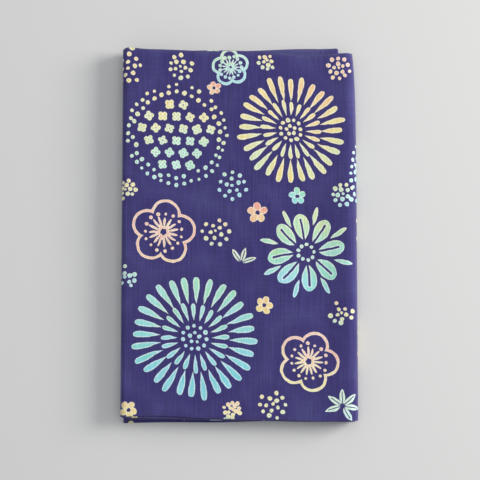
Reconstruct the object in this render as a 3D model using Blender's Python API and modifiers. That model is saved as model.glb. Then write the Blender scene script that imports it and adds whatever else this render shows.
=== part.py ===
"""A tenugui towel, folded and lying flat.

One long cotton cloth is folded in half across its width, so that its two woven edges lie
together, and that doubled strip is then halved three times along its length.  This gives eight
doubled panels in a stack.  The round spine of the last fold is on the +X side, the woven edges
are on the +Y side and the crease of the width fold is on the -Y side.

Metres, +Z up.  The origin is the middle of the stack's underside.
"""
from collections import namedtuple
from math import pi

import bpy
import numpy as np

MM = 0.001

# ---- the cloth ----
CLOTH_WIDTH = 352 * MM                  # woven edge to woven edge
STRIP_WIDTH = CLOTH_WIDTH / 2           # after the fold across its width
LAYER = 1.0 * MM                        # one doubled panel: two plies and the air between them
LAYER_GAP = 0.25 * MM
PITCH = LAYER + LAYER_GAP
STRIP_STEPS = 14                        # divisions of the strip's width
LONGEST_STEP = 13 * MM                  # of a panel's divisions along the strip

# ---- the folds, in order along the strip ----
# side: +1 where the strip turns at the spine side, -1 at the other side
# reach: how far the outer face of the turn comes from the stack's middle line
# drift: how far the strip has crept along Y at that turn
# steps: divisions of the turn
Turn = namedtuple("Turn", "name side reach drift steps")
TURNS = (
    Turn("first cut end", -1, 55.0 * MM, -2.3 * MM, 0),
    Turn("spine, outermost turn", +1, 56.4 * MM, -1.0 * MM, 10),
    Turn("left turn under the top panel", -1, 56.3 * MM, 0.8 * MM, 8),
    Turn("spine, innermost turn", +1, 49.4 * MM, 1.7 * MM, 6),
    Turn("left turn of the middle pair", -1, 55.6 * MM, 0.1 * MM, 6),
    Turn("spine, third turn", +1, 53.6 * MM, -1.2 * MM, 8),
    Turn("left turn inside the top one", -1, 55.0 * MM, 0.4 * MM, 6),
    Turn("spine, second turn", +1, 55.1 * MM, -1.5 * MM, 8),
    Turn("second cut end", -1, 54.2 * MM, -0.6 * MM, 0),
)

# ---- the panels between those folds ----
# level: its place in the stack, 0 for the lowest
# sag: how far the +Y edge is drawn in half way along the panel
Panel = namedtuple("Panel", "level sag")
PANELS = (
    Panel(0, 0.0 * MM),
    Panel(7, 0.3 * MM),
    Panel(4, 1.5 * MM),
    Panel(3, 0.0 * MM),
    Panel(2, 0.4 * MM),
    Panel(5, 0.6 * MM),
    Panel(6, 0.5 * MM),
    Panel(1, 0.3 * MM),
)

# ---- what the whole stack does ----
TAPER = 0.012                           # the -Y end is this much wider than the +Y end
SPINE_DRAW = 1.7 * MM                   # the spine's ends are drawn in by this much
SPINE_DRAW_CENTRE = -30 * MM
SPINE_DRAW_SPAN = 118 * MM
SPINE_DRAW_POWER = 8

# where the top panel's two long edges leave a straight line
# edge: +1 for the woven edges, -1 for the width fold; inward: how far the edge is drawn in
EdgeDip = namedtuple("EdgeDip", "edge x reach inward")
EDGE_DIPS = (
    EdgeDip(+1, 29 * MM, 15 * MM, 1.5 * MM),
    EdgeDip(+1, -53 * MM, 5 * MM, -0.8 * MM),
    EdgeDip(-1, -36 * MM, 16 * MM, 0.9 * MM),
)
TOP_LEVEL = 7

# soft rises of the stack's upper face; each fades to nothing at its flat underside
Swell = namedtuple("Swell", "name x y reach_x reach_y rise")
SWELLS = (
    Swell("ridge along the spine", 51 * MM, 0 * MM, 8 * MM, 80 * MM, 1.0 * MM),
    Swell("puffed left folds", -54 * MM, 30 * MM, 15 * MM, 70 * MM, 0.9 * MM),
    Swell("hollow inside the spine", 37 * MM, -12 * MM, 9 * MM, 45 * MM, -0.5 * MM),
    Swell("low middle", -18 * MM, 5 * MM, 22 * MM, 60 * MM, -0.3 * MM),
)


def clear_scene():
    """Remove every object, so that the model stands alone."""
    for item in list(bpy.data.objects):
        bpy.data.objects.remove(item, do_unlink=True)


def panel_height(panel):
    """Height of a panel's middle surface above the underside of the stack."""
    return LAYER / 2 + panel.level * PITCH


def turn_sizes(index):
    """Radius of a turn's middle surface, and the x at which its flat panels end."""
    turn = TURNS[index]
    if index in (0, len(TURNS) - 1):
        return 0.0, turn.side * turn.reach
    rise = panel_height(PANELS[index]) - panel_height(PANELS[index - 1])
    radius = abs(rise) / 2
    return radius, turn.side * (turn.reach - radius - LAYER / 2)


def strip_stations():
    """Sections of the folded strip in order: x, height, drift, sag and level of each.

    A flat panel runs straight between the ends of its two turns.  A turn is a half circle
    between the heights of its two panels.
    """
    rows = []
    for index, panel in enumerate(PANELS):
        height = panel_height(panel)
        radius_before, start_x = turn_sizes(index)
        radius_after, end_x = turn_sizes(index + 1)
        steps = int(np.ceil(abs(end_x - start_x) / LONGEST_STEP))
        share = np.linspace(0, 1, steps + 1)
        drift = TURNS[index].drift + share * (TURNS[index + 1].drift - TURNS[index].drift)
        flat = np.empty((steps + 1, 5))
        flat[:, 0] = start_x + share * (end_x - start_x)
        flat[:, 1] = height
        flat[:, 2] = drift
        flat[:, 3] = panel.sag * np.sin(pi * share)
        flat[:, 4] = panel.level
        rows.append(flat)
        if index + 1 < len(PANELS):
            turn = TURNS[index + 1]
            next_height = panel_height(PANELS[index + 1])
            angle = np.linspace(0, pi, turn.steps + 1)[1:-1]
            arc = np.empty((turn.steps - 1, 5))
            arc[:, 0] = end_x + turn.side * radius_after * np.sin(angle)
            arc[:, 1] = (height + next_height) / 2 + (height - next_height) / 2 * np.cos(angle)
            arc[:, 2] = turn.drift
            arc[:, 3] = 0.0
            share = angle / pi
            arc[:, 4] = panel.level + share * (PANELS[index + 1].level - panel.level)
            rows.append(arc)
    return np.vstack(rows)


def bump(distance, reach):
    """A smooth hill: 1 at its middle, about a third at its reach, and nothing far off."""
    return np.exp(-(distance / reach) ** 2)


def fold_points(across, station):
    """Points of the folded cloth for across in -0.5..0.5 and the strip's section at each.

    Y is the place across the strip plus the strip's drift, less what its edges are drawn in.
    """
    x, z, drift, sag, level = station.T
    y = across * STRIP_WIDTH + drift
    y -= sag * np.clip(across + 0.5, 0, 1) ** 2
    near_top = np.clip(level - (TOP_LEVEL - 1), 0, 1)
    for dip in EDGE_DIPS:
        pull = np.clip(0.5 + dip.edge * across, 0, 1) ** 3
        y -= dip.edge * dip.inward * near_top * pull * bump(x - dip.x, dip.reach)

    x = x * (1 - TAPER * y / STRIP_WIDTH)
    ends = np.abs((y - SPINE_DRAW_CENTRE) / SPINE_DRAW_SPAN) ** SPINE_DRAW_POWER
    spine_side = np.clip(x / TURNS[1].reach, 0, 1) ** 2
    x -= SPINE_DRAW * ends * spine_side

    stack_height = panel_height(Panel(TOP_LEVEL, 0))
    rise = np.zeros_like(z)
    for swell in SWELLS:
        rise += swell.rise * bump(x - swell.x, swell.reach_x) * bump(y - swell.y, swell.reach_y)
    lifted = np.clip(z - LAYER / 2, 0, None) / stack_height
    z = z + rise * lifted
    return np.column_stack((x, y, z))


def centred(points):
    """Move the points so that the stack's box is centred over the origin."""
    middle = (points.min(axis=0) + points.max(axis=0)) / 2
    return points - (middle[0], middle[1], 0)


def cotton_material():
    """Violet-blue dyed cotton: matt, with no metal in it."""
    material = bpy.data.materials.new("dyed_cotton")
    material.use_nodes = True
    shader = material.node_tree.nodes["Principled BSDF"]
    shader.inputs["Base Color"].default_value = (0.055, 0.053, 0.18, 1)
    shader.inputs["Roughness"].default_value = 0.9
    shader.inputs["Metallic"].default_value = 0.0
    return material


def folded_cloth(collection):
    """The whole towel as one sheet: a grid laid along the folded strip, then given its thickness."""
    stations = strip_stations()
    bpy.ops.mesh.primitive_grid_add(x_subdivisions=len(stations) - 1,
                                    y_subdivisions=STRIP_STEPS, size=1)
    cloth = bpy.context.active_object
    cloth.name = "towel_cloth"
    cloth.data.name = "towel_cloth"

    count = len(cloth.data.vertices)
    grid = np.empty(count * 3)
    cloth.data.vertices.foreach_get("co", grid)
    grid = grid.reshape(count, 3)
    along = np.rint((grid[:, 0] + 0.5) * (len(stations) - 1)).astype(int)
    points = centred(fold_points(grid[:, 1], stations[along]))
    cloth.data.vertices.foreach_set("co", points.ravel())
    cloth.data.update()

    wall = cloth.modifiers.new("cloth thickness", "SOLIDIFY")
    wall.thickness = LAYER
    wall.offset = 0
    wall.use_even_offset = True
    wall.use_quality_normals = True

    cloth.data.materials.append(cotton_material())
    for owner in list(cloth.users_collection):
        owner.objects.unlink(cloth)
    collection.objects.link(cloth)
    return cloth


def main():
    clear_scene()
    collection = bpy.data.collections.new("Tenugui towel")
    bpy.context.scene.collection.children.link(collection)
    folded_cloth(collection)


main()
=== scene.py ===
# %% [markdown]
# # A folded cotton hand towel
#
# The thing is one long piece of plain-woven cotton, dyed violet-blue with pale flowers, folded
# once across its width and three times along its length. This lesson makes it as the real one is
# made: one flat sheet, folded by a formula, with its print worked out on the flat cloth. So the
# flowers run round every fold, as dye does.

# %% Load the frame
from collections import namedtuple
from math import cos, pi, radians, sin, tau

import bpy
import numpy as np
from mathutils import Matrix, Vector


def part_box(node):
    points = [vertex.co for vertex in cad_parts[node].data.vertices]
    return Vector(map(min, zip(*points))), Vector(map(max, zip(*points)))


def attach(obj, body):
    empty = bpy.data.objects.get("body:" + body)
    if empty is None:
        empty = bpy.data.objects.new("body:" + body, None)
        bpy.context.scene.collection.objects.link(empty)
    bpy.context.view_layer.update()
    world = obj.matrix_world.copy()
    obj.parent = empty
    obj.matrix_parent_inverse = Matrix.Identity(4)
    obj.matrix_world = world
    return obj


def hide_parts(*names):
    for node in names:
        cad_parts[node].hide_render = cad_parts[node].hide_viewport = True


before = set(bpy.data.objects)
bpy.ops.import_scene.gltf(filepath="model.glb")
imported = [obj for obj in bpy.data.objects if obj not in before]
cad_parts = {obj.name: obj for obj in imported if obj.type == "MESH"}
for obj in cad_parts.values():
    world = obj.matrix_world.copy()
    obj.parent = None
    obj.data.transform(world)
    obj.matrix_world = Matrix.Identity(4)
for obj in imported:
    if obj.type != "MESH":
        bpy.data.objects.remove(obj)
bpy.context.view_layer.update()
cad_low, cad_high = (np.array(corner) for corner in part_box("towel_cloth"))
MM = 0.001
print("folded stack, mm:", np.round((cad_high - cad_low) / MM, 1))

# %% [markdown]
# ## The folds
#
# A towel like this is folded in half until it is a hand wide. Every halving puts the older folds
# inside the new one, so the turns nest like the rings of an onion. Cloth simulation could fold
# it, but sixteen plies pressed together are slow and fragile to simulate. A path drawn through
# the stack is exact: straight panels joined by half circles. These tables repeat the sizes of
# the construction model, with the cloth's turns in order from one cut end to the other.

# %% Tables of the folds
PLIES = 16
LAYER = 1.0 * MM
PITCH = 1.25 * MM                       # from one doubled panel to the next
TOP_LEVEL = 7
CLOTH_WIDTH = 352 * MM
STRIP_WIDTH = CLOTH_WIDTH / 2

# side: +1 at the spine; reach: of the turn's outer face; drift: creep along Y; steps: divisions
Turn = namedtuple("Turn", "side reach drift steps")
TURNS = (
    Turn(-1, 55.0 * MM, -2.3 * MM, 0),
    Turn(+1, 56.4 * MM, -1.0 * MM, 22),
    Turn(-1, 56.3 * MM, 0.8 * MM, 14),
    Turn(+1, 49.4 * MM, 1.7 * MM, 8),
    Turn(-1, 55.6 * MM, 0.1 * MM, 8),
    Turn(+1, 53.6 * MM, -1.2 * MM, 8),
    Turn(-1, 55.0 * MM, 0.4 * MM, 8),
    Turn(+1, 55.1 * MM, -1.5 * MM, 10),
    Turn(-1, 54.2 * MM, -0.6 * MM, 0),
)
# level: place in the stack from the bottom; sag: of the woven edge half way; steps: divisions
Panel = namedtuple("Panel", "level sag steps")
PANELS = (
    Panel(0, 0.0 * MM, 16),
    Panel(7, 0.3 * MM, 84),
    Panel(4, 1.5 * MM, 12),
    Panel(3, 0.0 * MM, 16),
    Panel(2, 0.4 * MM, 12),
    Panel(5, 0.6 * MM, 12),
    Panel(6, 0.5 * MM, 12),
    Panel(1, 0.3 * MM, 12),
)
TOP_PANEL = 1


def panel_height(level):
    """Height of a doubled panel's middle surface: half a layer, and a pitch for each level."""
    return LAYER / 2 + level * PITCH


def turn_sizes(index):
    """Radius of a turn, which is half its rise, and the x where its flat panels end."""
    turn = TURNS[index]
    if index in (0, len(TURNS) - 1):
        return 0.0, turn.side * turn.reach
    radius = abs(PANELS[index].level - PANELS[index - 1].level) * PITCH / 2
    return radius, turn.side * (turn.reach - radius - LAYER / 2)


print("stack of", len(PANELS), "doubled panels,", PLIES, "plies")

# %% [markdown]
# ## The strip's path
#
# Each station on the path has a place (x, height), the way its outer side faces, the strip's
# drift and sag there, and its distance along the flat cloth. The top panel gets many more
# stations than the hidden ones, because only there do soft creases show.

# %% Stations along the folded strip
def strip_stations():
    """The folded strip's sections, one row each: x, height, facing x, facing z, drift, sag, level.

    A panel is a straight run between its two turns. A turn is half a circle whose angle goes
    evenly from 0 to pi: x swings out by the sine and the height crosses by the cosine. The
    facing is the direction of travel turned a quarter clockwise, which is outwards at the spine.
    """
    rows = []
    for index, panel in enumerate(PANELS):
        height = panel_height(panel.level)
        _, start_x = turn_sizes(index)
        radius, end_x = turn_sizes(index + 1)
        way = np.sign(end_x - start_x)
        share = np.linspace(0, 1, panel.steps + 1)
        drift = TURNS[index].drift + share * (TURNS[index + 1].drift - TURNS[index].drift)
        flat = np.zeros((len(share), 7))
        flat[:, 0] = start_x + share * (end_x - start_x)
        flat[:, 1] = height
        flat[:, 3] = -way
        flat[:, 4] = drift
        flat[:, 5] = panel.sag * np.sin(pi * share)
        flat[:, 6] = panel.level
        rows.append(flat)
        if index + 1 == len(PANELS):
            continue
        turn = TURNS[index + 1]
        next_level = PANELS[index + 1].level
        next_height = panel_height(next_level)
        angle = np.linspace(0, pi, turn.steps + 1)[1:-1]
        climb = np.sign(next_height - height)
        arc = np.zeros((len(angle), 7))
        arc[:, 0] = end_x + turn.side * radius * np.sin(angle)
        arc[:, 1] = (height + next_height) / 2 - climb * radius * np.cos(angle)
        arc[:, 2] = climb * np.sin(angle)
        arc[:, 3] = -way * np.cos(angle)
        arc[:, 4] = turn.drift
        arc[:, 6] = panel.level + angle / pi * (next_level - panel.level)
        rows.append(arc)
    return np.vstack(rows)


stations = strip_stations()
along = np.concatenate(([0], np.hypot(*np.diff(stations[:, :2], axis=0).T).cumsum()))

# %% [markdown]
# ## The fold across the width
#
# Each doubled panel is two plies that are one cloth: it runs down from one woven edge, turns in a
# tight crease at the near side and runs back up to the other woven edge. The two edges never lie
# exactly together, so the crease wanders a little and one edge stands out past the other.

# %% Profile across the strip
CLOTH_THICK = 0.34 * MM
PLY_OFFSET = PITCH / 4                  # each ply from the middle of its doubled panel
PLY_STEPS = 64
CREASE_STEPS = 8


def across_profile():
    """One ply's grid line across: distance on the flat cloth, place across, and ply offset.

    Three runs joined: straight down the outer ply, half a circle round the crease with the
    offset as its radius, and straight up the inner ply.
    """
    run = STRIP_WIDTH - PLY_OFFSET
    down = np.linspace(0, 1, PLY_STEPS + 1)
    bend = np.linspace(0, pi, CREASE_STEPS + 1)[1:-1]
    place = np.concatenate((down * run, run + PLY_OFFSET * np.sin(bend), (1 - down) * run))
    offset = np.concatenate((down * 0 + 1, np.cos(bend), down * 0 - 1)) * PLY_OFFSET
    distance = np.concatenate((
        down * run,
        run + PLY_OFFSET * bend,
        run + PLY_OFFSET * pi + down * run,
    ))
    return distance, STRIP_WIDTH / 2 - place, offset


def slow_wave(distance, lengths, seed):
    """An uneven wave: the mean of sines of the given lengths, each started at its own place."""
    starts = np.random.default_rng(seed).uniform(0, tau, len(lengths))
    waves = [np.sin(tau * distance / length + start) for length, start in zip(lengths, starts)]
    return np.mean(waves, axis=0)


print("grid:", len(across_profile()[0]), "across by", len(stations), "along")

# %% [markdown]
# ## What hands do to it
#
# Nobody folds a towel dead square. The far end is a little narrower than the near end, the
# spine's ends are drawn in, and the top panel's edges wander. Pressing leaves the stack puffed
# along its folds and low between them, with long faint creases. Every one of these is a smooth
# hill or trough with its own size, added to the height in proportion to the height, so that
# plies never cross and the underside stays flat.

# %% Tables of the uneven places
TAPER = 0.012
SPINE_DRAW = 1.7 * MM
SPINE_DRAW_CENTRE = -30 * MM
SPINE_DRAW_SPAN = 118 * MM
SPINE_DRAW_POWER = 8

# where the top panel's long edges wander: edge +1 is the woven one, -1 the crease, and inward is
# how far the edge is drawn in
EdgeDip = namedtuple("EdgeDip", "edge x reach inward")
EDGE_DIPS = (
    EdgeDip(+1, 29 * MM, 15 * MM, 1.5 * MM),
    EdgeDip(+1, -53 * MM, 5 * MM, -0.8 * MM),
    EdgeDip(+1, 8 * MM, 6 * MM, 0.3 * MM),
    EdgeDip(-1, -36 * MM, 16 * MM, 0.9 * MM),
    EdgeDip(-1, 6 * MM, 9 * MM, -0.35 * MM),
)

# broad hills and hollows of the whole stack
Swell = namedtuple("Swell", "x y reach_x reach_y rise")
SWELLS = (
    Swell(51 * MM, 0 * MM, 8 * MM, 80 * MM, 1.0 * MM),
    Swell(-54 * MM, 30 * MM, 15 * MM, 70 * MM, 0.9 * MM),
    Swell(37 * MM, -12 * MM, 9 * MM, 45 * MM, -0.5 * MM),
    Swell(-18 * MM, 5 * MM, 22 * MM, 60 * MM, -0.3 * MM),
    Swell(43 * MM, -46 * MM, 6 * MM, 12 * MM, -0.35 * MM),
    Swell(47 * MM, -2 * MM, 6 * MM, 18 * MM, -0.3 * MM),
    Swell(-40 * MM, 40 * MM, 9 * MM, 26 * MM, 0.35 * MM),
)

# long faint creases of the top plies: place, lean in x for each unit of y, and half width
Crease = namedtuple("Crease", "x y lean width reach_y rise")
CREASES = (
    Crease(-32.0 * MM, 34 * MM, 0.01, 1.6 * MM, 34 * MM, 0.13 * MM),
    Crease(-30.0 * MM, -30 * MM, -0.02, 1.8 * MM, 30 * MM, 0.07 * MM),
    Crease(-13.2 * MM, 20 * MM, 0.005, 1.3 * MM, 60 * MM, -0.09 * MM),
    Crease(-10.6 * MM, -25 * MM, 0.005, 1.5 * MM, 40 * MM, 0.09 * MM),
    Crease(-2.6 * MM, -10 * MM, 0.0, 1.3 * MM, 45 * MM, 0.06 * MM),
    Crease(4.5 * MM, 35 * MM, 0.015, 1.6 * MM, 35 * MM, -0.06 * MM),
    Crease(13.6 * MM, -35 * MM, -0.01, 1.4 * MM, 42 * MM, 0.09 * MM),
    Crease(17.5 * MM, -20 * MM, 0.0, 1.7 * MM, 55 * MM, -0.06 * MM),
    Crease(43.0 * MM, 60 * MM, 0.01, 1.5 * MM, 22 * MM, 0.07 * MM),
)
CREASE_DEPTH = 2.5 * MM                 # how far below the top plies a crease can be felt

STACK_HEIGHT = panel_height(TOP_LEVEL)
LOOSE = 0.28 * MM                       # how unevenly the layers bunch
RIPPLE = 0.12 * MM                      # of the top, over a few centimetres


def bump(distance, reach):
    """A smooth hill: 1 at its middle, about a third at its reach, and nothing far off."""
    return np.exp(-(distance / reach) ** 2)


def ease(value):
    """0 below 0, 1 above 1, and a smooth S between them."""
    value = np.clip(value, 0, 1)
    return value * value * (3 - 2 * value)


print(len(SWELLS), "swells and", len(CREASES), "creases")

# %% [markdown]
# ## Fold the sheet
#
# The grid has two parameters: where a point is along the strip and where it is across the cloth.
# Its place is the station's place, moved out or in by the ply's offset along the way that the
# station faces, and then bent by the tables above.

# %% The folded sheet as one grid
def folded_sheet():
    """Points of the folded cloth, as an array (along, across, 3), and its flat distances.

    x and height: the station's own, plus the ply's offset times the way the station faces.
    y: the place across the strip, plus drift and the crease's wander, less the sag and dips.
    """
    x, z, face_x, face_z, drift, sag, level = (column[:, None] for column in stations.T)
    distance, place, offset = (row[None, :] for row in across_profile())
    v = along[:, None]

    crease = 0.35 * MM * slow_wave(v, (0.21, 0.083, 0.047), seed=3)
    uneven = 0.55 * MM * slow_wave(v, (0.31, 0.127, 0.058), seed=5)
    toward_edge = ease(place / STRIP_WIDTH + 0.5)
    y = place + drift + crease + np.sign(offset) * uneven * toward_edge
    y = y - sag * np.clip(place / STRIP_WIDTH + 0.5, 0, 1) ** 2
    near_top = np.clip(level - (TOP_LEVEL - 1), 0, 1)
    for dip in EDGE_DIPS:
        pull = np.clip(0.5 + dip.edge * place / STRIP_WIDTH, 0, 1) ** 3
        y = y - dip.edge * dip.inward * near_top * pull * bump(x - dip.x, dip.reach)

    x = x + offset * face_x
    z = z + offset * face_z
    x = x * (1 - TAPER * y / STRIP_WIDTH)
    ends = np.abs((y - SPINE_DRAW_CENTRE) / SPINE_DRAW_SPAN) ** SPINE_DRAW_POWER
    x = x - SPINE_DRAW * ends * np.clip(x / TURNS[1].reach, 0, 1) ** 2
    return np.stack(np.broadcast_arrays(x, y, z), axis=-1), np.broadcast_arrays(v, distance)


def pressed(points):
    """The stack after hands have pressed it: only the heights change.

    The share is 0 at the underside and 1 at the top. Swells and ripples are multiplied by it.
    Layers bunch by sines of the share that are 0 at both faces. Creases fade below the top.
    """
    x, y, z = np.moveaxis(points, -1, 0)
    lowest_ply = LAYER / 2 - PLY_OFFSET
    share = np.clip((z - lowest_ply) / STACK_HEIGHT, 0, 1.2)
    rise = RIPPLE * (slow_wave(x + 0.3 * y, (0.043, 0.027), 11) + slow_wave(y, (0.061, 0.037), 12))
    for swell in SWELLS:
        hill = bump(x - swell.x, swell.reach_x) * bump(y - swell.y, swell.reach_y)
        rise = rise + swell.rise * hill
    ridge = np.zeros_like(z)
    for crease in CREASES:
        line = crease.x + crease.lean * (y - crease.y)
        hill = bump(x - line, crease.width) * bump(y - crease.y, crease.reach_y)
        ridge = ridge + crease.rise * hill
    felt = ease((z - (STACK_HEIGHT - CREASE_DEPTH)) / CREASE_DEPTH)
    inside = np.clip(share, 0, 1)
    bunch = slow_wave(x - y, (0.09, 0.051), 21) * np.sin(pi * inside)
    bunch = bunch + 0.5 * slow_wave(x + y, (0.07, 0.041), 22) * np.sin(tau * inside)
    z = z + rise * share + ridge * felt + LOOSE * bunch
    return np.stack((x, y, z), axis=-1)


points, (flat_along, flat_across) = folded_sheet()
points = pressed(points)
low, high = points.min(axis=(0, 1)), points.max(axis=(0, 1))
points[..., :2] -= (low[:2] + high[:2]) / 2
points[..., 2] += CLOTH_THICK / 2 - low[2]
print("folded cloth, mm:", np.round((high - low) / MM, 1))

# %% [markdown]
# ## Two maps on the cloth
#
# The print and the weave need to know where they are on the flat cloth, so the first map holds
# metres on the flat cloth, with its zero at the middle of the top panel. The second map is for
# saving the finished colours in one picture. It gives most of its room to the top panel's outer
# ply, which is what shows.

# %% Build the mesh with its maps
BAKE_SHARE_TOP = 0.5                    # of the picture's width, for the top panel and its turns
BAKE_SHARE_OUTER = 0.68                 # of its height, for the outer ply
BAKE_PAST_TURN = 6 * MM                 # how far past the top panel the left turn still shows


def stretched(distance, start, end, share):
    """Map 0..1 along distance so that the part from start to end takes up the given share."""
    total = distance.max()
    before = (1 - share) * start / (total - (end - start))
    knots = (0, start, end, total)
    return np.interp(distance, knots, (0, before, before + share, 1))


def sheet_mesh(name, points, maps):
    """A mesh of the grid: each cell is a face of four corners, and maps holds its UV arrays."""
    rows, columns, _ = points.shape
    number = np.arange(rows * columns).reshape(rows, columns)
    corners = (number[:-1, :-1], number[:-1, 1:], number[1:, 1:], number[1:, :-1])
    faces = np.stack(corners, axis=-1).reshape(-1, 4)
    mesh = bpy.data.meshes.new(name)
    mesh.from_pydata(points.reshape(-1, 3), [], faces.tolist())
    for map_name, (across, up) in maps.items():
        pairs = np.stack((across, up), axis=-1).reshape(-1, 2)
        layer = mesh.uv_layers.new(name=map_name)
        layer.uv.foreach_set("vector", pairs[faces.ravel()].astype(np.float32).ravel())
    mesh.shade_smooth()
    mesh.update()
    return mesh


top_stations = np.flatnonzero(stations[:, 6] == TOP_LEVEL)
top_start, top_end = along[top_stations[0]], along[top_stations[-1]]
top_middle = (top_start + top_end) / 2
print_across = top_middle - flat_along
print_up = STRIP_WIDTH / 2 - flat_across
spine_length = pi * turn_sizes(TOP_PANEL)[0]
bake_start = top_start - spine_length
bake_end = top_end + BAKE_PAST_TURN
bake_across = stretched(flat_along, bake_start, bake_end, BAKE_SHARE_TOP)
bake_up = stretched(flat_across, 0, STRIP_WIDTH, BAKE_SHARE_OUTER)
maps = {"cloth_metres": (print_across, print_up), "OFBake": (bake_across, 1 - bake_up)}
cloth = bpy.data.objects.new("cotton_sheet", sheet_mesh("cotton_sheet", points, maps))
bpy.context.scene.collection.objects.link(cloth)

thickness = cloth.modifiers.new("thickness of the cotton", "SOLIDIFY")
thickness.thickness = CLOTH_THICK
thickness.offset = 0
thickness.use_even_offset = True
print("faces before thickness:", len(cloth.data.polygons))

# %% [markdown]
# ## Formulas in a material
#
# The print is drawn by formula too, in the material, so it stays sharp however close the eye
# comes. To keep the formulas readable, a small class lets nodes be added, subtracted,
# multiplied and divided like numbers: each operation puts one Math node into the material.

# %% Numbers made of nodes
material = bpy.data.materials.new("dyed_cotton")
material.use_nodes = True
tree = material.node_tree
shader = tree.nodes["Principled BSDF"]


def add_node(kind, **settings):
    """A new node in the material, with its settings."""
    node = tree.nodes.new(kind)
    count = len(tree.nodes)
    node.location = (-200 * (count // 24) - 400, -160 * (count % 24))
    node.hide = True
    for name, value in settings.items():
        setattr(node, name, value)
    return node


def feed(socket, value):
    """Join a value to a socket: a link if it comes from a node, else a plain number."""
    if isinstance(value, Number):
        tree.links.new(value.socket, socket)
    else:
        socket.default_value = value


def maths(operation, *values):
    """The result of one Math node."""
    node = add_node("ShaderNodeMath", operation=operation)
    for socket, value in zip(node.inputs, values):
        feed(socket, value)
    return Number(node.outputs[0])


class Number:
    """A number that the material works out at each point of the cloth."""

    def __init__(self, socket):
        self.socket = socket

    def __add__(self, other):
        return maths("ADD", self, other)

    def __sub__(self, other):
        return maths("SUBTRACT", self, other)

    def __rsub__(self, other):
        return maths("SUBTRACT", other, self)

    def __mul__(self, other):
        return maths("MULTIPLY", self, other)

    def __truediv__(self, other):
        return maths("DIVIDE", self, other)

    def __pow__(self, other):
        return maths("POWER", self, other)

    def __abs__(self):
        return maths("ABSOLUTE", self)

    __radd__ = __add__
    __rmul__ = __mul__


# %% [markdown]
# ## Steps, vectors and lots
#
# A few more helpers do what one Math node can't: hold a value in bounds, cross from one value to
# another, and carry two or three numbers at once. Soft noise and numbers drawn by lot make the
# print uneven, as handwork is. Both come out the same each time, because their seeds are fixed.

# %% Helpers for shapes and noise
def clamped(value):
    """The value held between 0 and 1."""
    node = add_node("ShaderNodeClamp")
    feed(node.inputs["Value"], value)
    return Number(node.outputs[0])


def smooth_step(value, start, end):
    """0 before start, 1 after end, and a smooth S between."""
    node = add_node("ShaderNodeMapRange", interpolation_type="SMOOTHSTEP")
    feed(node.inputs["Value"], value)
    feed(node.inputs["From Min"], start)
    feed(node.inputs["From Max"], end)
    return Number(node.outputs[0])


def blend(share, first, second):
    """A number that goes from first to second as share goes from 0 to 1."""
    node = add_node("ShaderNodeMix", data_type="FLOAT")
    feed(node.inputs[0], share)
    feed(node.inputs[2], first)
    feed(node.inputs[3], second)
    return Number(node.outputs[0])


def vector(x, y):
    """Two numbers as one vector."""
    node = add_node("ShaderNodeCombineXYZ")
    feed(node.inputs[0], x)
    feed(node.inputs[1], y)
    return Number(node.outputs[0])


def vector_maths(operation, *values):
    """The vector that one Vector Math node gives; plain triples are set on its sockets."""
    node = add_node("ShaderNodeVectorMath", operation=operation)
    for socket, value in zip(node.inputs, values):
        feed(socket, value)
    return Number(node.outputs["Value" if operation == "LENGTH" else "Vector"])


def mixed_vector(share, first, second):
    """The first vector where share is 0 and the second where it is 1."""
    node = add_node("ShaderNodeMix", data_type="VECTOR")
    for place, value in ((0, share), (4, first), (5, second)):
        feed(node.inputs[place], value)
    return Number(node.outputs[1])


def parts_of(value):
    """The three numbers of a vector."""
    node = add_node("ShaderNodeSeparateXYZ")
    feed(node.inputs[0], value)
    return [Number(output) for output in node.outputs]


def length(x, y):
    """The length of the vector x, y."""
    return vector_maths("LENGTH", vector(x, y))


def chances(number):
    """Three numbers from 0 to 1, drawn by lot for each whole number."""
    noise = add_node("ShaderNodeTexWhiteNoise", noise_dimensions="1D")
    feed(noise.inputs["W"], number)
    split = add_node("ShaderNodeSeparateColor")
    feed(split.inputs[0], Number(noise.outputs["Color"]))
    return [Number(output) for output in split.outputs]


def cloud(x, y, size, detail=2.0, colour=False):
    """Soft noise about 0.5, whose blobs are about as wide as size, in metres."""
    noise = add_node("ShaderNodeTexNoise", noise_dimensions="2D")
    feed(noise.inputs["Vector"], vector(x, y))
    noise.inputs["Scale"].default_value = 1 / size
    noise.inputs["Detail"].default_value = detail
    return Number(noise.outputs["Color" if colour else "Fac"])


metres = add_node("ShaderNodeUVMap", uv_map="cloth_metres")
cloth_x, cloth_y, _ = parts_of(Number(metres.outputs[0]))
print("the material reads the cloth in metres from its map", metres.uv_map)

# %% [markdown]
# ## Hand-cut edges
#
# The stencil for such a print is cut by hand, so no edge is quite true. The whole drawing is
# shifted by a fraction of a millimetre of soft noise before any shape is worked out.

# %% Wobble the drawing
WOBBLE = 0.55 * MM
WOBBLE_SIZE = 3.2 * MM
shake = add_node("ShaderNodeSeparateColor")
feed(shake.inputs[0], cloud(cloth_x, cloth_y, WOBBLE_SIZE, detail=1.0, colour=True))
drawn_x = cloth_x + (Number(shake.outputs[0]) - 0.5) * WOBBLE
drawn_y = cloth_y + (Number(shake.outputs[1]) - 0.5) * WOBBLE
print("edges wander by up to", round(WOBBLE / 2 / MM, 2), "mm")

# %% [markdown]
# ## Petals, dots and blossoms
#
# Every shape gives its depth: how far a point is inside the shape's edge, in metres, and below
# zero outside. Depths are easy to join, because the larger one wins. Round the middle of a
# flower the angle is cut into equal sectors, and one petal is drawn for all of them. A lot drawn
# for each sector makes every petal a little longer, shorter or bent.

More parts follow.
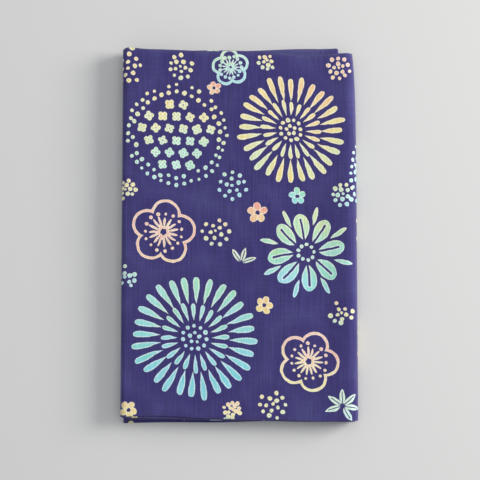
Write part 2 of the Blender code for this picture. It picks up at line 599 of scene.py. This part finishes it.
# %% Shapes that give their depth
TILE_X = 220 * MM                       # the stencil's length: the drawing repeats after it
TILE_Y = STRIP_WIDTH
OUTSIDE = -1.0                          # a depth for points that no shape can reach
VEIN_END = 0.82                         # how far along its petal a vein runs

# what a flower is drawn on: the way from its middle as x and y, and as a radius and a turn from
# 0 to 1; the seed of its lots; and its size, which is the radius of its rim
Bed = namedtuple("Bed", "x y radius turn seed size")


def sectors(bed, count, extra=0.0):
    """The sector a point is in: lots drawn for it, and its angle off the sector's middle.

    The odd factors keep the lots of one flower or ring apart from those of the next.
    """
    slot = maths("FRACT", bed.turn + extra) * count
    number = maths("FLOOR", slot)
    angle = (slot - number - 0.5) * (tau / count)
    return chances(number + bed.seed * 31.7 + count * 0.37), angle


def petal_ring(bed, count, inner, outer, width, tip=0.4, base=1.1,
               extra=0.0, vein=0.0, present=1.0):
    """Petals that stand round the middle; inner, outer and width are shares of the radius.

    Along a petal t goes from 0 to 1. Its half width is t to the power base times 1 - t to the
    power tip, so a small tip is blunt. A vein leaves a bare line down the middle.
    """
    (luck_length, luck_bend, luck_shown), angle = sectors(bed, count, extra)
    reach = bed.size * (outer - inner)
    width = bed.size * width
    t = clamped((bed.radius - bed.size * inner) / (reach * (luck_length * 0.18 + 0.88)))
    peak = base / (base + tip)
    most = peak ** base * (1 - peak) ** tip
    profile = t ** base * (1 - t) ** tip * width * (0.5 / most)
    side = bed.radius * angle + (luck_bend - 0.5) * (t * t) * width * 0.5
    depth = profile - abs(side)
    if vein:
        bare = maths("MINIMUM", abs(side) - vein / 2, 1.0)
        heart = (VEIN_END - t) * reach
        depth = maths("MINIMUM", depth, maths("MAXIMUM", bare, heart * -1))
    depth = blend(maths("GREATER_THAN", profile, 0.02 * MM), OUTSIDE, depth)
    if present < 1:
        depth = blend(maths("LESS_THAN", luck_shown, present), OUTSIDE, depth)
    return depth


def dot_ring(bed, count, radius, dot, scatter=0.0, extra=0.0, present=1.0):
    """Dots round a circle: each dot's radius less the distance from its middle."""
    (luck_size, luck_place, luck_shown), angle = sectors(bed, count, extra)
    out = bed.radius - bed.size * radius - (luck_place - 0.5) * scatter
    depth = (0.8 + 0.4 * luck_size) * dot - length(out, bed.radius * angle)
    if present < 1:
        depth = blend(maths("LESS_THAN", luck_shown, present), OUTSIDE, depth)
    return depth


print("stencil, mm:", round(TILE_X / MM), "by", round(TILE_Y / MM))

# %% [markdown]
# ## Outlines and florets
#
# A plum blossom is only a line, so its depth is measured from the nearest petal's circle. A head
# of florets isn't a ring: its florets stand in staggered rows, like the cells of a honeycomb, and
# the head's round rim only says which of them are drawn.

# %% Shapes that are not rings
def blossom_outline(bed, line, petals=5):
    """The outline of round petals: half the line less the distance from a petal's circle."""
    _, angle = sectors(bed, petals)
    circle = bed.size * 0.43
    out = bed.radius * maths("COSINE", angle) - (bed.size - circle)
    aside = bed.radius * maths("SINE", angle)
    return line / 2 - abs(length(out, aside) - circle)


def florets(bed, radius, cell, petal):
    """A round head of small four-petalled florets, in rows that are half a cell apart.

    A floret is drawn if its own middle is inside the head. Each is turned by lot.
    """
    row_height = cell * 0.88
    row = maths("FLOOR", bed.y / row_height)
    shift = maths("FRACT", row * 0.5)
    column = maths("FLOOR", bed.x / cell + shift)
    right = bed.x - (column - shift + 0.5) * cell
    up = bed.y - (row + 0.5) * row_height
    luck_turn, luck_size, luck_reach = chances(row * 17.3 + column * 3.1 + bed.seed)
    middle = length((column - shift + 0.5) * cell, (row + 0.5) * row_height)
    turn = maths("FRACT", maths("ARCTAN2", up, right) / tau + luck_turn * 0.25)
    angle = (maths("FRACT", turn * 4) - 0.5) * (tau / 4)
    distance = length(right, up)
    out = distance * maths("COSINE", angle) - petal * 1.12
    depth = petal * (0.86 + 0.2 * luck_size) - length(out, distance * maths("SINE", angle))
    rim = bed.size * radius + luck_reach * 2 * MM
    return blend(maths("LESS_THAN", middle, rim), OUTSIDE, depth)


def joined(*depths):
    """The depth of several shapes together: the largest of theirs."""
    whole = depths[0]
    for depth in depths[1:]:
        whole = maths("MAXIMUM", whole, depth)
    return whole


print("shapes: petals, dots, outlines and florets")

# %% [markdown]
# ## The flowers
#
# Four kinds of flower share the ground: a many-petalled garden daisy, a round head of florets, a
# plum blossom in outline and a broad veined flower, with small blossoms, leaves and dots between.
# Each kind is a few rings, and lengths in it are shares of the flower's radius, so that it can be
# drawn at any size. Only dots, florets and lines keep their own size, as hand tools do.

# %% The kinds of flower
def daisy(bed):
    """Two tiers of slender blunt petals round a dotted eye."""
    return joined(
        petal_ring(bed, 28, 0.54, 1.0, 0.104, tip=0.38, base=1.1),
        petal_ring(bed, 20, 0.27, 0.56, 0.072, tip=0.4, extra=0.01),
        dot_ring(bed, 11, 0.19, 0.95 * MM, 0.5 * MM),
        dot_ring(bed, 5, 0.08, 0.9 * MM),
    )


def floret_head(bed):
    """A head of florets with two rings of dots round it."""
    return joined(
        florets(bed, 0.68, 6.6 * MM, 1.15 * MM),
        dot_ring(bed, 34, 0.86, 0.95 * MM, 1.4 * MM, present=0.92),
        dot_ring(bed, 40, 0.985, 0.85 * MM, 1.4 * MM, extra=0.012, present=0.85),
    )


def plum(bed):
    """Five round petals in outline, with stamens that end in dots."""
    return joined(
        blossom_outline(bed, 1.3 * MM),
        petal_ring(bed, 15, 0.16, 0.5, 0.075, tip=0.5, base=0.5),
        dot_ring(bed, 15, 0.6, 0.75 * MM, 0.8 * MM),
    )


def broad_flower(bed):
    """Eight broad veined petals, narrow ones between them and a ring of dots."""
    return joined(
        petal_ring(bed, 8, 0.26, 0.9, 0.34, tip=0.55, base=0.9, vein=1.1 * MM),
        petal_ring(bed, 8, 0.62, 1.06, 0.10, tip=0.6, base=0.9, extra=1 / 16),
        dot_ring(bed, 9, 0.17, 0.85 * MM, 0.5 * MM),
    )


def small_blossom(bed):
    """Five filled petals round a bare eye."""
    return petal_ring(bed, 5, 0.2, 1.0, 0.74, tip=0.42, base=0.55)


def leaf_spray(bed):
    """A few veined leaves that point away from the middle."""
    return petal_ring(bed, 7, 0.1, 1.0, 0.3, tip=0.9, base=0.8, vein=0.5 * MM, present=0.7)


def dot_spray(bed):
    """Loose rings of dots, like pollen, round one dot."""
    return joined(
        dot_ring(bed, 10, 0.84, 0.95 * MM, 1.2 * MM, present=0.85),
        dot_ring(bed, 5, 0.42, 0.95 * MM, 0.8 * MM, extra=0.03),
        dot_ring(bed, 1, 0.0, 1.1 * MM),
    )


KINDS = (daisy, floret_head, plum, broad_flower, small_blossom, leaf_spray, dot_spray)
print("kinds of flower:", len(KINDS))

# %% [markdown]
# ## The layout
#
# The flowers are scattered: large ones first, with their rims a few millimetres apart,
# then small blossoms, leaves and dots in what is left. Those with x from -56 to 56 mm fall on the
# top panel. The others go round the spine and lie on the layers below.

# %% Where each flower stands
# x, y and radius in mm; rotation as a share of a full turn
# hue: 0 teal, 1/3 mint, 2/3 yellow, 1 coral; drift: how far the hue runs across the flower
Flower = namedtuple("Flower", "kind x y radius rotation hue drift")
FLOWERS = (
    Flower(daisy, 26, 51, 26, 0.02, 0.66, 0.10),
    Flower(floret_head, -29, 47, 24, 0.00, 0.45, 0.30),
    Flower(broad_flower, 33, -8, 22, 0.04, 0.28, 0.25),
    Flower(plum, -35, 0, 15, 0.07, 0.98, 0.15),
    Flower(daisy, -20, -50, 30, 0.06, 0.08, 0.22),
    Flower(plum, 34, -60, 14, 0.11, 0.88, 0.25),
    Flower(plum, -3, 80, 8.5, 0.03, 0.15, 0.20),
    Flower(floret_head, 76, 30, 22, 0.05, 0.12, 0.30),
    Flower(daisy, 83, -50, 25, 0.01, 0.70, 0.15),
    Flower(broad_flower, 121, 18, 23, 0.02, 0.68, 0.20),
    Flower(plum, 96, 68, 15, 0.09, 0.95, 0.15),
    Flower(daisy, 136, -44, 24, 0.05, 0.02, 0.20),
    Flower(floret_head, 141, 66, 20, 0.00, 0.60, 0.30),
    Flower(dot_spray, -52, 78, 7.5, 0.00, 0.70, 0.10),
    Flower(dot_spray, -27, 80, 6.5, 0.10, 0.62, 0.10),
    Flower(dot_spray, 50, 81, 6.0, 0.20, 0.90, 0.10),
    Flower(dot_spray, 15, 84, 5.0, 0.10, 0.62, 0.20),
    Flower(dot_spray, -2, 23, 7.5, 0.00, 0.12, 0.20),
    Flower(dot_spray, 51, 20, 6.0, 0.15, 0.30, 0.20),
    Flower(dot_spray, -53, 20, 5.0, 0.05, 0.66, 0.10),
    Flower(dot_spray, -10, 1, 7.0, 0.15, 0.62, 0.20),
    Flower(dot_spray, 50, -37, 6.0, 0.12, 0.66, 0.20),
    Flower(dot_spray, -53, -22, 6.0, 0.20, 0.20, 0.20),
    Flower(dot_spray, 17, -81, 7.0, 0.35, 0.60, 0.20),
    Flower(dot_spray, -2, -84, 4.5, 0.30, 0.70, 0.20),
    Flower(small_blossom, 10, 10, 5.0, 0.05, 0.90, 0.10),
    Flower(small_blossom, 29, 19, 4.2, 0.05, 0.15, 0.10),
    Flower(small_blossom, 13, -34, 4.4, 0.10, 0.70, 0.10),
    Flower(small_blossom, -51, -85, 4.4, 0.13, 0.75, 0.10),
    Flower(small_blossom, -11, 70, 3.6, 0.02, 0.95, 0.10),
    Flower(leaf_spray, 2, -14, 7.5, 0.30, 0.35, 0.20),
    Flower(leaf_spray, 50, -81, 9, 0.10, 0.30, 0.20),
    Flower(leaf_spray, 100, -8, 9, 0.20, 0.40, 0.20),
    Flower(dot_spray, 62, 3, 6.0, 0.30, 0.62, 0.20),
    Flower(dot_spray, 112, -76, 8.0, 0.10, 0.90, 0.20),
    Flower(dot_spray, 148, 22, 6.0, 0.10, 0.15, 0.20),
)
print("flowers in the stencil:", len(FLOWERS))

# %% [markdown]
# ## The nearest flower
#
# Drawing all the flowers one by one would need thousands of nodes, which is more than a material
# can hold. So the material first finds which flower is nearest, by going through them in turn and
# keeping the best so far. Each kind is then drawn once, round that flower's middle and at its
# size, and only the kind that stands there is kept.

# %% Find the nearest flower and draw it
def nearest_flower():
    """The flower whose rim is nearest, as its bed, its kind and hue, and the gap to its rim.

    For each flower in turn: the way to its middle, wrapped to the stencil's nearest repeat, and
    the gap, which is that way's length less the flower's radius. Where the gap is the smallest
    so far, this flower's way and its own numbers replace the ones kept. Those numbers travel as
    two vectors, form (kind, seed, size) and colour (hue, drift, rotation).
    """
    drawn = vector(drawn_x, drawn_y)
    half = (TILE_X / 2, TILE_Y / 2, 1.0)
    minus_half = (-TILE_X / 2, -TILE_Y / 2, -1.0)
    least = 9.0
    way = (0.0, 0.0, 0.0)
    form = (0.0, 0.0, 1.0)
    colour = (0.0, 0.0, 0.0)
    for seed, flower in enumerate(FLOWERS):
        middle = (flower.x * MM, flower.y * MM, 0.0)
        size = flower.radius * MM
        own_form = (KINDS.index(flower.kind), seed, size)
        own_colour = (flower.hue, flower.drift, flower.rotation)
        own_way = vector_maths("WRAP", vector_maths("SUBTRACT", drawn, middle), half, minus_half)
        gap = vector_maths("LENGTH", own_way) - size
        nearer = maths("LESS_THAN", gap, least)
        way = mixed_vector(nearer, way, own_way)
        form = mixed_vector(nearer, form, own_form)
        colour = mixed_vector(nearer, colour, own_colour)
        least = maths("MINIMUM", gap, least)
    right, up, _ = parts_of(way)
    kind, seed, size = parts_of(form)
    hue, drift, rotation = parts_of(colour)
    turn = maths("FRACT", maths("ARCTAN2", up, right) / tau + rotation)
    bed = Bed(right, up, least + size, turn, seed, size)
    return bed, kind, hue + up / size * drift, least


def drawn_flowers():
    """The depth and hue of the print at each point, and the gap to the nearest flower's rim.

    Every kind of flower is drawn once, at the nearest flower's size, and the kind that stands
    there is the one that is kept.
    """
    bed, kind, hue, gap = nearest_flower()
    depth = OUTSIDE
    for number, draw in enumerate(KINDS):
        depth = blend(maths("COMPARE", kind, number, 0.5), depth, draw(bed))
    return depth, hue, gap


mark_depth, mark_hue, flower_gap = drawn_flowers()
print(len(FLOWERS), "flowers drawn with", len(tree.nodes), "nodes")

# %% [markdown]
# ## Dye
#
# The colours are poured on by hand through the stencil, several at once, so they run into each
# other inside a flower: teal into mint, mint into yellow, yellow into coral. A mark is palest at
# its rim, where the paste held the dye back, and fullest in its middle. The ground is a deep
# violet-blue that is a shade deeper beside the marks, and it takes unevenly along the threads.

# %% Colours of the dye
EDGE_SOFT = 0.17 * MM
RIM = 0.75 * MM
RIM_ROUGHNESS = 0.5 * MM                # how unevenly the paste held at the rim
RUN = 0.55                              # how far the colours run into each other


def srgb(red, green, blue):
    """A colour given as 0 to 255 on a screen, as the linear numbers that shaders use."""
    channels = np.array((red, green, blue)) / 255
    low_part = channels / 12.92
    high_part = ((channels + 0.055) / 1.055) ** 2.4
    return (*np.where(channels <= 0.04045, low_part, high_part), 1.0)


def colour_ramp(value, colours):
    """A ramp of colours at evenly spaced places, read at the value."""
    ramp = add_node("ShaderNodeValToRGB")
    stops = ramp.color_ramp.elements
    stops[-1].position = 1.0
    while len(stops) < len(colours):
        stops.new(0.5)
    for index, colour in enumerate(colours):
        stops[index].position = index / (len(colours) - 1)
        stops[index].color = colour
    feed(ramp.inputs[0], value)
    return Number(ramp.outputs[0])


def mixed(share, first, second):
    """A colour that goes from first to second as share goes from 0 to 1."""
    node = add_node("ShaderNodeMix", data_type="RGBA")
    feed(node.inputs[0], share)
    feed(node.inputs[6], first)
    feed(node.inputs[7], second)
    return Number(node.outputs[2])


# teal, mint, yellow and coral
PALE_DYES = (srgb(206, 234, 240), srgb(222, 240, 222), srgb(245, 238, 200), srgb(246, 224, 204))
FULL_DYES = (srgb(112, 205, 212), srgb(156, 218, 178), srgb(234, 216, 140), srgb(236, 158, 140))
GROUND_DEEP = srgb(57, 50, 108)
GROUND_PLAIN = srgb(70, 68, 122)

run = cloud(cloth_x, cloth_y, 16 * MM, detail=3.0)
speck = cloud(cloth_x, cloth_y, 1.6 * MM, detail=2.0)
hue = clamped(mark_hue + (run - 0.5) * RUN)
pale = colour_ramp(hue, PALE_DYES)
full = colour_ramp(hue, FULL_DYES)
middle = smooth_step(mark_depth + (speck - 0.5) * RIM_ROUGHNESS, 0.15 * MM, RIM)
mark_colour = mixed(middle * (0.35 + 0.9 * run), pale, full)

beside = smooth_step(flower_gap, -2 * MM, 12 * MM)
mottle = cloud(cloth_x, cloth_y, 38 * MM, detail=2.0)
ground = mixed(clamped(beside * 0.8 + (mottle - 0.5) * 0.8), GROUND_DEEP, GROUND_PLAIN)
mark = smooth_step(mark_depth, -EDGE_SOFT, EDGE_SOFT)
dyed = mixed(mark, ground, mark_colour)
print("dyes:", len(FULL_DYES), "on a ground of two shades")

# %% [markdown]
# ## Threads
#
# The cotton is a plain weave of single yarns, about 22 to the centimetre each way. The cross
# yarns, which run up the panel, are spun unevenly, and a thick one shows as a streak. The
# streaks tint the dye a little. The crossings get painted shade and painted highlight, darker in
# the weave's hollows and lighter on its crests. Both raise the surface a little. The height
# leaves the print out, because dye has no thickness.

# %% Weave, streaks and surface
YARN = 0.45 * MM                        # from one yarn to the next
STREAK_TINT = 0.75                      # shares of the dye's depth
CROSS_STREAK_TINT = 0.3
GRAIN_TINT = 0.55
# painted shade and highlight of the weave: darker in its hollows, lighter on its crests
CROSSING_PAINTED_SHADE = 0.05
TINT_ON_MARKS = 0.35                    # a mark shows the threads less than the ground does
CROSSING_RELIEF = 0.035                 # heights in mm
STREAK_RELIEF = 0.16
CROSS_STREAK_RELIEF = 0.08
CRUMPLE_RELIEF = 0.30


def weave(x, y):
    """Crossings of a plain weave from -1 to 1: the product of two sines, half a wave a yarn."""
    return maths("SINE", x * (pi / YARN)) * maths("SINE", y * (pi / YARN))


thread_x = cloth_x + (cloud(cloth_x, cloth_y / 9, 2.4 * MM) - 0.5) * (0.9 * MM)
thread_y = cloth_y + (cloud(cloth_x / 6, cloth_y, 2.0 * MM) - 0.5) * (0.6 * MM)
crossings = weave(thread_x, thread_y)
streaks = cloud(cloth_x, cloth_y / 26, 0.75 * MM, detail=3.0)
cross_streaks = cloud(cloth_x / 22, cloth_y, 0.7 * MM, detail=2.0)
grain = cloud(cloth_x, cloth_y, 0.55 * MM, detail=1.0)
uneven_dye_and_weave_shade = (streaks - 0.5) * STREAK_TINT + (cross_streaks - 0.5) * CROSS_STREAK_TINT
# streaks and grain are uneven dye; the crossings term is painted shade and highlight of the weave
uneven_dye_and_weave_shade = uneven_dye_and_weave_shade + (grain - 0.5) * GRAIN_TINT + crossings * CROSSING_PAINTED_SHADE

shade = add_node("ShaderNodeVectorMath", operation="SCALE")
feed(shade.inputs[0], dyed)
feed(shade.inputs["Scale"], blend(mark, 1 + uneven_dye_and_weave_shade, 1 + uneven_dye_and_weave_shade * TINT_ON_MARKS))
feed(shader.inputs["Base Color"], Number(shade.outputs[0]))

crumple = cloud(cloth_x, cloth_y / 1.8, 7 * MM, detail=2.0)
height = crossings * CROSSING_RELIEF + (streaks - 0.5) * STREAK_RELIEF
height = height + (cross_streaks - 0.5) * CROSS_STREAK_RELIEF + (crumple - 0.5) * CRUMPLE_RELIEF
relief = add_node("ShaderNodeBump")
relief.inputs["Strength"].default_value = 0.8
relief.inputs["Distance"].default_value = 1 * MM
feed(relief.inputs["Height"], height)
feed(shader.inputs["Normal"], Number(relief.outputs[0]))
feed(shader.inputs["Roughness"], clamped(0.88 + (grain - 0.5) * 0.12))
shader.inputs["Specular IOR Level"].default_value = 0.25
shader.inputs["Sheen Weight"].default_value = 0.6
shader.inputs["Sheen Roughness"].default_value = 0.45
shader.inputs["Sheen Tint"].default_value = (0.72, 0.72, 1.0, 1.0)
cloth.data.materials.append(material)
print("material has", len(tree.nodes), "nodes")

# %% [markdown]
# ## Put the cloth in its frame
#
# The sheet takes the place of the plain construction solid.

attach(cloth, "root")
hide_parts("towel_cloth")
print(cloth.name, "takes the place of towel_cloth")

# %% [markdown]
# ## Floor
#
# A plain pale tabletop, with a little mottling so that it is not a void.

# %% The floor
FLOOR_SIDE = 6.0


def floor_mesh():
    """A flat square of side FLOOR_SIDE at the height of the towel's underside."""
    half = FLOOR_SIDE / 2
    corners = np.array([(-half, -half, 0), (half, -half, 0), (half, half, 0), (-half, half, 0)])
    mesh = bpy.data.meshes.new("table_top")
    mesh.from_pydata(corners, [], [(0, 1, 2, 3)])
    return mesh


floor = bpy.data.objects.new("table_top", floor_mesh())
bpy.context.scene.collection.objects.link(floor)
floor_material = bpy.data.materials.new("pale_table")
floor_material.use_nodes = True
floor_shader = floor_material.node_tree.nodes["Principled BSDF"]
floor_shader.inputs["Base Color"].default_value = (0.66, 0.655, 0.64, 1)
floor_shader.inputs["Roughness"].default_value = 0.85
floor.data.materials.append(floor_material)
print("floor side, m:", FLOOR_SIDE)

# %% [markdown]
# ## Light
#
# The light is a large soft window on the spine's side, low enough to catch the spine and to show
# the creases, with an even glow all round. Hard sun would show the weave more, but it would hide
# the dye's soft colours.

# %% Light
def area_light(name, azimuth, elevation, distance, size, power, colour):
    """A square lamp that faces the towel from an azimuth (0 is +X) and elevation in degrees."""
    lamp = bpy.data.lights.new(name, "AREA")
    lamp.size = size
    lamp.energy = power
    lamp.color = colour
    item = bpy.data.objects.new(name, lamp)
    bpy.context.scene.collection.objects.link(item)
    level = cos(radians(elevation)) * distance
    item.location = (level * cos(radians(azimuth)), level * sin(radians(azimuth)),
                     sin(radians(elevation)) * distance)
    item.rotation_mode = "QUATERNION"
    item.rotation_quaternion = item.location.to_track_quat("Z", "Y")
    return item


area_light("window", 16, 26, 1.3, 0.6, 17, (1.0, 0.99, 0.97))
area_light("ceiling", 80, 78, 1.4, 1.2, 5, (0.97, 0.98, 1.0))

world = bpy.data.worlds.new("soft_room")
world.use_nodes = True
glow = world.node_tree.nodes["Background"]
glow.inputs["Color"].default_value = (0.92, 0.95, 1.0, 1)
glow.inputs["Strength"].default_value = 0.42
bpy.context.scene.world = world
bpy.context.scene.view_settings.view_transform = "Standard"
print("lamps:", len(bpy.data.lights))

# %% [markdown]
# ## Camera
#
# The camera looks almost straight down on the towel, leaning a little towards the near edge, from
# about a metre up. Its lens is worked out from how much of the table it should see.

# %% Place the camera
VIEW_WIDTH = 228.8 * MM                 # of table, seen at the towel's middle height
CAMERA_DISTANCE = 0.95
CAMERA_LEAN = 4.0                       # degrees from straight down
AIM = (0.3 * MM, -3.0 * MM, cad_high[2])

camera_data = bpy.data.cameras.new("camera")
camera_data.sensor_width = 36
camera_data.lens = camera_data.sensor_width * CAMERA_DISTANCE / VIEW_WIDTH
camera = bpy.data.objects.new("camera", camera_data)
bpy.context.scene.collection.objects.link(camera)
camera.location = (AIM[0], AIM[1] - CAMERA_DISTANCE * sin(radians(CAMERA_LEAN)),
                   AIM[2] + CAMERA_DISTANCE * cos(radians(CAMERA_LEAN)))
camera.rotation_euler = (radians(CAMERA_LEAN), 0, 0)
bpy.context.scene.camera = camera
print("lens, mm:", round(camera_data.lens))

# %% [markdown]
# ## Finish
#

# %% Count the pieces
print("pieces in the scene:", len(bpy.data.meshes))
